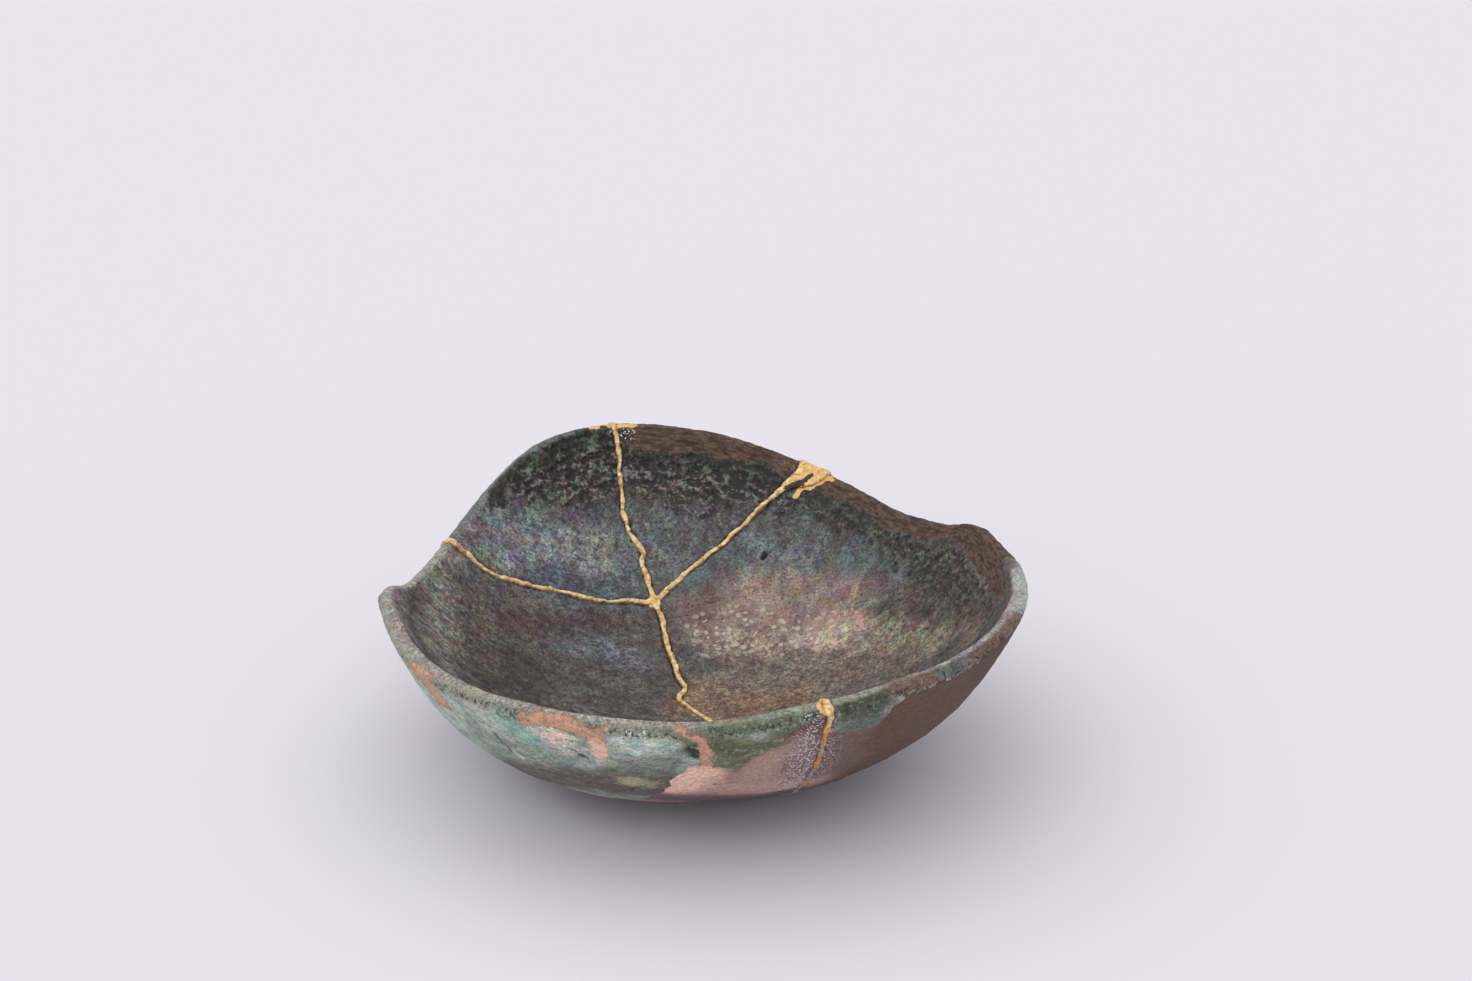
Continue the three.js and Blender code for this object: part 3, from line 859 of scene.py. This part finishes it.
# these three ramps go from painted shade in the hollows to painted highlights on the tops, over the
# crust's own plum, grey and green
crust_colour = ramp(tree, soft(tree, boil, -0.9, 0.9), [
    (0.18, (10, 8, 8)), (0.38, (28, 23, 24)), (0.52, (54, 45, 46)),
    (0.68, (74, 65, 65)), (0.82, (92, 90, 87)), (0.95, (124, 128, 119)),
])
dark_green = ramp(tree, soft(tree, boil, -0.9, 0.9), [
    (0.18, (6, 7, 5)), (0.40, (16, 18, 12)), (0.56, (26, 29, 20)),
    (0.70, (38, 43, 32)), (0.85, (50, 56, 44)), (0.97, (70, 76, 62)),
])
mossy_colour = ramp(tree, soft(tree, boil, -1.0, 1.0), [
    (0.18, (16, 17, 13)), (0.40, (44, 43, 36)), (0.56, (68, 63, 54)),
    (0.70, (76, 77, 65)), (0.85, (92, 90, 78)), (0.97, (114, 108, 95)),
])
crust_colour = layer(tree, times(tree, painted(tree, "crust_top"), 0.9), crust_colour, dark_green)
crust_colour = layer(tree, painted(tree, "mossy"), crust_colour, mossy_colour)
patchy = fractal(tree, spot, 3.4, 4.0, 0.6, 0.4)[0]
crust_colour = two_tone(tree, crust_colour, patchy, 0.42, 0.58, (1.22, 0.97, 1.0),
                        (0.76, 1.02, 0.84))
crust_colour = vary(tree, crust_colour, hues, 0.9)
crust_edge = plus(tree, painted(tree, "crust"), soft(tree, fine, 0.2, 0.8, -0.35, 0.35))
crust_edge = plus(tree, crust_edge, soft(tree, grit, 0.2, 0.8, -0.5, 0.5))
crust_here = soft(tree, crust_edge, 0.28, 0.62, 0.0, 0.95)
crusted = layer(tree, crust_here, glazed, crust_colour)

pit_some = soft(tree, fractal(tree, spot, 9.0)[0], 0.46, 0.58)
pit_here = times(tree, dots(tree, spot, 1.3, 0.10), pit_some, soft(tree, outer, 0.5, 0.0, 0.0, 0.8))
pitted = layer(tree, pit_here, crusted, rgba(PIT_BLACK))

chain = fractal(tree, spot, 7.0, 3.0, 0.5, 0.8)[0]
chain = times(tree, soft(tree, chain, 0.42, 0.48), soft(tree, chain, 0.62, 0.55))
flake_here = times(tree, painted(tree, "flakes"), chain, dots(tree, spot, 2.3, 0.8))
flaked = layer(tree, times(tree, flake_here, 0.8), pitted, rgba(FLAKE_CREAM))
print("glaze with its layers uses", len(tree.nodes), "nodes")

# %% [markdown]
# ## Bare clay in the material
# Bare clay is duller than glaze, and fine lines from the potter's hand run round it. On the lip it
# is rough and ridged. Noise breaks its border, because glaze lets go of clay in small chips.

# %% Bare clay
clay_colour = vary(tree, painted(tree, "clay", "Vector"), fine, 1.5)
layered = fractal(tree, stroke, 1.1, 4.0, 0.65)[0]
clay_colour = vary(tree, clay_colour, layered, 1.3)
rough_clay = two_tone(tree, clay_colour, grit, 0.38, 0.60, (0.80, 0.79, 0.78), (1.15, 1.14, 1.13))
ridged = fractal(tree, vector(tree, "MULTIPLY", flow, (0.25, 0.25, 1.2)), 1.3, 4.0, 0.65)[0]
rough_clay = two_tone(tree, rough_clay, ridged, 0.38, 0.60, (0.54, 0.52, 0.51), (1.27, 1.27, 1.25))
clay_colour = layer(tree, outer, rough_clay, clay_colour)
bare_edge = plus(tree, painted(tree, "bare"), soft(tree, clotted, 0.2, 0.8, -0.45, 0.45))
bare = soft(tree, bare_edge, 0.40, 0.60)
with_clay = layer(tree, bare, flaked, clay_colour)
print("glaze and clay use", len(tree.nodes), "nodes")

# %% [markdown]
# ## What lies on top
# Specks, frost and wiped gold come last, because on the real bowl they lie on top; the glints,
# which are painted highlights, are laid with them. Only the fine grain of the skin is bump: every
# larger shape is in the mesh, where it can cast a shadow.

# %% Specks, frost and finish
SPECK_BLACK = (32, 33, 27)
FROST_WHITE = (226, 217, 224)
# painted highlight: the white of the glints on the front shoulder
GLINT_WHITE = (240, 240, 236)
WIPED_GOLD = (232, 190, 120)
speck_some = soft(tree, fractal(tree, spot, 6.5, 4.0, 0.6, 0.4)[0], 0.34, 0.48)
speck_here = times(tree, painted(tree, "lip_specks"), soft(tree, clotted, 0.51, 0.57), speck_some)
speck_here = times(tree, speck_here, soft(tree, bare, 0.0, 1.0, 1.0, 0.35))
specked = layer(tree, times(tree, speck_here, 0.9), with_clay, rgba(SPECK_BLACK))
frost_some = soft(tree, fractal(tree, spot, 3.0, 3.0)[0], 0.30, 0.52)
frost_here = times(tree, painted(tree, "frost"), dots(tree, spot, 0.75, 0.7), frost_some)
frosted = layer(tree, times(tree, frost_here, 0.9), specked, rgba(FROST_WHITE))
# painted highlight: glints are laid in white where their mask and two noises agree
glint_some = times(tree, soft(tree, fine, 0.54, 0.62), soft(tree, grit, 0.44, 0.54))
glint_here = times(tree, painted(tree, "glints"), glint_some)
glinting = layer(tree, glint_here, frosted, rgba(GLINT_WHITE))
wiped_edge = plus(tree, painted(tree, "wiped"), soft(tree, clotted, 0.2, 0.8, -0.4, 0.4))
wiped = soft(tree, wiped_edge, 0.45, 0.6)
gilded = layer(tree, wiped, glinting, rgba(WIPED_GOLD))
tree.links.new(vector(tree, "MAXIMUM", gilded, (0.004,) * 3), shader.inputs["Base Color"])
tree.links.new(times(tree, wiped, 0.4), shader.inputs["Metallic"])
dullness = plus(tree, soft(tree, bare, 0.0, 1.0, 0.5, 0.85), soft(tree, fine, 0.3, 0.7, -0.06, 0.1))
tree.links.new(dullness, shader.inputs["Roughness"])
shader.inputs["Specular IOR Level"].default_value = 0.4
skin_bump = add(tree, "ShaderNodeBump", {"Height": fine, "Strength": 0.4, "Distance": 0.00025})
tree.links.new(skin_bump.outputs["Normal"], shader.inputs["Normal"])

for name, piece in shards.items():
    piece.data.materials.append(glaze)
    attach(piece, "root")
    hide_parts(name)
print("finished glaze uses", len(tree.nodes), "nodes")

# %% [markdown]
# ## The gold seam
# Lacquer is laid with a brush over the closed crack, so it stands a little proud, covers both
# edges and wanders in width. The dense copy of the solid is swollen a little, pushed about
# sideways and roughened. Outside it was rubbed down, so there it sinks back.

# %% Seam relief
LACQUER_SWELL = 0.10
CHIP_NOTCH = [(29.6, 88.5, 53.5), (31.6, 88.9, 54.1), (33.6, 88.1, 55.5)]
NOTCH_TIP = [(33.6, 88.1, 55.5), (35.6, 88.5, 56.8), (37.6, 89, 58.3)]
seam_points = points_mm(seam.data)
seam_normals = normals_of(seam.data)
seam_bearing, seam_rise, seam_outward = bearing_and_rise(seam_points)
seam_face = np.sum(seam_normals * seam_outward, axis=1)
seam_down = below_lip(seam_bearing, seam_rise)
seam_clay = distance(clay_tree, seam_points)
wide_push = np.array([noise.noise_vector(Vector(p) / 5.0) for p in seam_points])
small_push = np.array([noise.noise_vector(Vector(p) / 1.5) for p in seam_points])
swell = LACQUER_SWELL + 0.30 * cloud(seam_points, 4.2, 3, 3.0)
swell -= 0.42 * step(0.2, 0.7, seam_face) * step(3, 10, seam_down)
swell += 0.6 * near(seam_points, LIP_DROP, 3.0)
laid = seam_points + seam_normals * swell[:, None] + 0.45 * wide_push + 0.27 * small_push
laid = np.clip(laid, *BOX_MM)
laid[:, 2] = np.maximum(laid[:, 2], 0.15)
seam.data.vertices.foreach_set("co", (laid / MM_IN_M).ravel())
seam.data.update()
print("seam swells", swell.max().round(2), "mm at most")

# %% [markdown]
# ## Where the gold is thin
# Outside, only the middle of the seam is gilt, and it breaks off lower down. The rest keeps the
# colour of the filler. A dark notch runs into the gold of the chip.

# %% Layers of the seam
frayed = wander(seam_points, 3.0, 1.0)
seam_reach = np.linalg.norm(seam_points - CENTRE, axis=1)
outer_part = step(115.0, 117.5, seam_reach) * step(1, 5, seam_down)
middle = step(0.34, 0.52, seam_clay + 0.4 * cloud(seam_points, 5.0, 2, 8.0))
unsure = seam_down + 4 * cloud(seam_points, 6.0, 2)
lasts = np.maximum(1 - step(32, 37, unsure), 0.9 * between(44, 54, 2, unsure))
gilt_share = 1 - outer_part * (1 - middle * lasts)
store(seam.data, "gilt", gilt_share)
store(seam.data, "thick", np.maximum(step(0.9, 1.7, seam_clay), outer_part))
store(seam.data, "amber", outer_part * step(4, 11, seam_down))
notch = np.maximum(near(frayed, CHIP_NOTCH, 1.9), near(frayed, NOTCH_TIP, 1.2))
store(seam.data, "notch", step(0.15, 0.45, notch) * step(0.3, 0.7, -seam_face))
print("gilt covers", gilt_share.mean().round(2), "of the seam")

# %% [markdown]
# ## Gold powder on lacquer
# Gold powder is dusted on wet lacquer and burnished when it is dry. A thick place takes more powder
# and is brighter; a thin one keeps the marks of the brush. The streaks of the brush noise are partly
# those marks and partly painted highlights: the palest stops of both gold ramps stand for the shine.
# Outside the gold is worn to amber and gives way to the filler. The metal share is low: powder in
# lacquer is softer than solid metal.

# %% Gold material
FILLER_DARK = (122, 100, 96)
FILLER_PALE = (172, 160, 166)
NOTCH_BROWN = (52, 44, 38)
AMBER = (0.80, 0.64, 0.45)
gold, tree, shader, spot = new_material("brushed_gold_lacquer")
brush = fractal(tree, spot, 1.8, 4.0, 0.62, 0.6)[0]
dust = fractal(tree, spot, 0.5, 2.0, 0.6)[0]
# partly brush marks, partly painted highlights: the palest stops of this ramp and the next stand for
# the shine
thin_gold = ramp(tree, brush, [
    (0.30, (140, 105, 63)), (0.43, (205, 170, 116)),
    (0.56, (238, 206, 150)), (0.68, (253, 238, 192)),
])
thick_gold = ramp(tree, brush, [
    (0.30, (158, 112, 56)), (0.43, (218, 168, 98)),
    (0.56, (236, 192, 126)), (0.70, (252, 222, 168)),
])
gold_colour = layer(tree, painted(tree, "thick"), thin_gold, thick_gold)
amber_gold = vector(tree, "MULTIPLY", gold_colour, AMBER)
gold_colour = layer(tree, painted(tree, "amber"), gold_colour, amber_gold)
filler = layer(tree, soft(tree, dust, 0.4, 0.6), rgba(FILLER_DARK), rgba(FILLER_PALE))
gilt = painted(tree, "gilt")
notch_edge = plus(tree, painted(tree, "notch"), soft(tree, brush, 0.2, 0.8, -0.5, 0.5))
notched = soft(tree, notch_edge, 0.4, 0.6)
with_filler = layer(tree, gilt, filler, gold_colour)
with_notch = layer(tree, notched, with_filler, rgba(NOTCH_BROWN))
tree.links.new(with_notch, shader.inputs["Base Color"])
not_notched = soft(tree, notched, 0.0, 1.0, 1.0, 0.0)
shine = times(tree, soft(tree, gilt, 0.3, 0.7, 0.0, 0.35), not_notched)
tree.links.new(shine, shader.inputs["Metallic"])
tree.links.new(soft(tree, dust, 0.2, 0.8, 0.36, 0.55), shader.inputs["Roughness"])
seam.data.materials.append(gold)
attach(seam, "root")
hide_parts("gold_seam")
print("gold lacquer on", seam.name)

# %% [markdown]
# ## The table
# The bowl stands on a wide pale sheet that fills the whole picture, as paper does in a studio.

# %% Table
TABLE_SIZE = 4.0
TABLE_COLOUR = (229, 226, 233)
table_shape = bmesh.new()
bmesh.ops.create_grid(table_shape, x_segments=1, y_segments=1, size=TABLE_SIZE)
table_mesh = bpy.data.meshes.new("pale_table")
table_shape.to_mesh(table_mesh)
table_shape.free()
table = bpy.data.objects.new("pale_table", table_mesh)
bpy.context.scene.collection.objects.link(table)
paper = bpy.data.materials.new("pale_paper")
paper.use_nodes = True
paper_shader = paper.node_tree.nodes["Principled BSDF"]
paper_shader.inputs["Base Color"].default_value = rgba(TABLE_COLOUR)
paper_shader.inputs["Roughness"].default_value = 0.9
table_mesh.materials.append(paper)
print("table is", 2 * TABLE_SIZE, "m wide")

# %% [markdown]
# ## Soft light
# One very wide light, as from a whole ceiling of soft boxes, comes from above and a little from the
# left and the back. A second one fills the front, and a pale sky of even light softens every
# shadow. A sun lamp with a wide angle lights the table evenly from edge to edge, which a lamp close
# by would not. The lamps are a little yellow and the sky a little violet, so that shadows are cool.

# %% Light
LAMP_TINT = (1.0, 1.07, 0.85)
SKY_TINT = (1.0, 0.95, 1.10, 1.0)
SKY_STRENGTH = 0.68


def wide_light(name, from_direction, spread, strength):
    lamp = bpy.data.lights.new(name, "SUN")
    lamp.angle = math.radians(spread)
    lamp.energy = strength
    lamp.color = LAMP_TINT
    holder = bpy.data.objects.new(name, lamp)
    holder.rotation_euler = (-Vector(from_direction)).to_track_quat("-Z", "Y").to_euler()
    bpy.context.scene.collection.objects.link(holder)


wide_light("ceiling_light", (-0.12, 0.08, 1.0), spread=100, strength=0.88)
wide_light("front_light", (-0.45, -1.0, 0.55), spread=70, strength=0.52)
sky = bpy.data.worlds.new("even_sky")
sky.use_nodes = True
background = sky.node_tree.nodes["Background"]
background.inputs["Color"].default_value = SKY_TINT
background.inputs["Strength"].default_value = SKY_STRENGTH
bpy.context.scene.world = sky
bpy.context.scene.view_settings.view_transform = "Standard"

# %% [markdown]
# ## The camera
# The camera looks down at the bowl from a little over a metre away, through a long lens, which
# keeps the near side of the rim from bulging.

# %% Camera
CAMERA_PLACE = (0.01216, -0.98966, 0.48857)
CAMERA_PITCH = 22.0
LENS_MM = 85.0
FILM_MM = 36.0
lens = bpy.data.cameras.new("photo_lens")
lens.lens = LENS_MM
lens.sensor_width = FILM_MM
camera = bpy.data.objects.new("photo_camera", lens)
camera.location = CAMERA_PLACE
camera.rotation_euler = (math.radians(90 - CAMERA_PITCH), 0, 0)
bpy.context.scene.collection.objects.link(camera)
bpy.context.scene.camera = camera
print("camera stands", round(Vector(CAMERA_PLACE).length, 3), "m from the foot")
